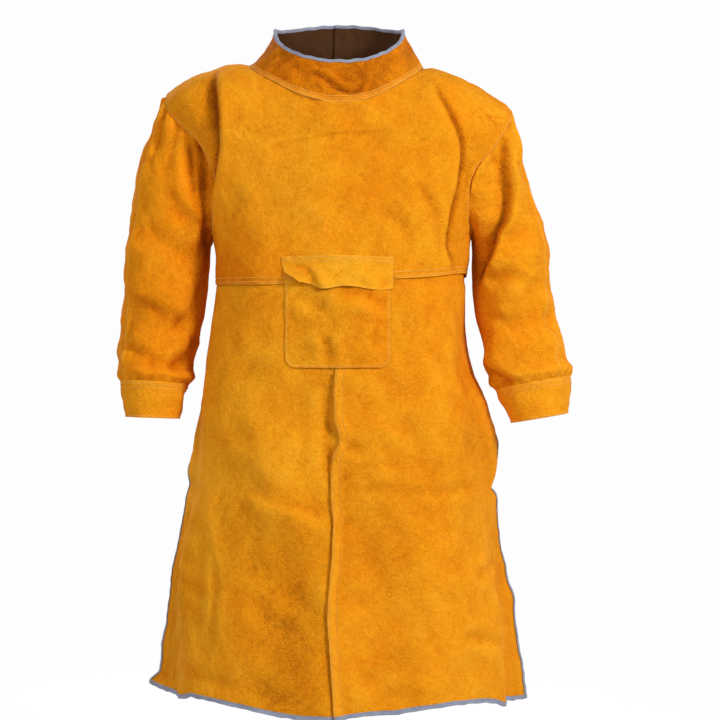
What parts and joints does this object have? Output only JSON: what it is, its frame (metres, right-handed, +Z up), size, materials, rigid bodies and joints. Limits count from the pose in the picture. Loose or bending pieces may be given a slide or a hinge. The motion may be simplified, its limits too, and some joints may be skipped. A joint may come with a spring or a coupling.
{
  "type": "leather welding coat",
  "caption": "Sleeved split-leather welding coat with stand collar, waist seam, flapped front pocket and an opening down the back.",
  "frame": {"origin": "middle of the neck opening, level with the neck points of the shoulders, on the coat's middle plane", "axes": "+Z up along the hanging coat, -Y out of its front, +X towards the wearer's left hand, which is the viewer's right from in front"},
  "size_m": [0.8005, 0.326, 1.1863],
  "materials": {
    "suede": "golden-orange split cowhide, napped suede face",
    "suede_dark": "inside of the collar, darker worn suede",
    "binding": "woven grey-blue edge binding",
    "webbing": "black woven strap webbing",
    "buckle": "black moulded side-release buckle",
    "elastic": "black elastic loop",
    "hook_tape": "hook side of a hook-and-loop fastener",
    "loop_tape": "loop side of a hook-and-loop fastener"
  },
  "bodies": {
    "coat": {"bodice_front": "suede", "back_left": "suede", "back_right": "suede", "skirt_left": "suede", "skirt_right": "suede", "collar_outer": "suede", "pocket_pouch": "suede", "strap_anchor_left": "suede", "strap_anchor_right": "suede", "collar_lining": "suede_dark", "collar_binding": "binding", "edge_binding_left": "binding", "edge_binding_right": "binding", "hem_binding": "binding", "collar_loop_patch": "loop_tape", "waist_strap_left": "webbing", "waist_strap_right": "webbing", "buckle_socket": "buckle"},
    "pocket_flap": {"pocket_flap": "suede"},
    "left_sleeve": {"sleeve_left_front": "suede", "sleeve_left_back": "suede", "cuff_left": "suede"},
    "right_sleeve": {"sleeve_right_front": "suede", "sleeve_right_back": "suede", "cuff_right": "suede"},
    "collar_tab": {"collar_tab": "suede", "collar_hook_patch": "hook_tape"},
    "buckle_plug": {"buckle_plug": "buckle", "buckle_prongs": "buckle", "strap_keeper": "elastic"}
  },
  "joints": [
    {"name": "pocket_flap_hinge", "type": "hinge", "parent": "coat", "child": "pocket_flap", "pos_m": [-0.006, -0.155, -0.3146], "axis": [-1, 0, 0], "range_deg": [0, 150]},
    {"name": "left_sleeve_raise", "type": "hinge", "parent": "coat", "child": "left_sleeve", "pos_m": [-0.305, 0, -0.032], "axis": [0, 1, 0], "range_deg": [0, 60]},
    {"name": "right_sleeve_raise", "type": "hinge", "parent": "coat", "child": "right_sleeve", "pos_m": [0.305, 0, -0.032], "axis": [0, -1, 0], "range_deg": [0, 60]},
    {"name": "collar_tab_open", "type": "hinge", "parent": "coat", "child": "collar_tab", "pos_m": [-0.0254, 0.0976, 0.063], "axis": [0, 0, 1], "range_deg": [0, 110]},
    {"name": "buckle_release", "type": "slide", "parent": "coat", "child": "buckle_plug", "axis": [1, 0, 0], "range_m": [0, 0.035], "deforming": ["waist_strap_right", "buckle_prongs"]}
  ]
}
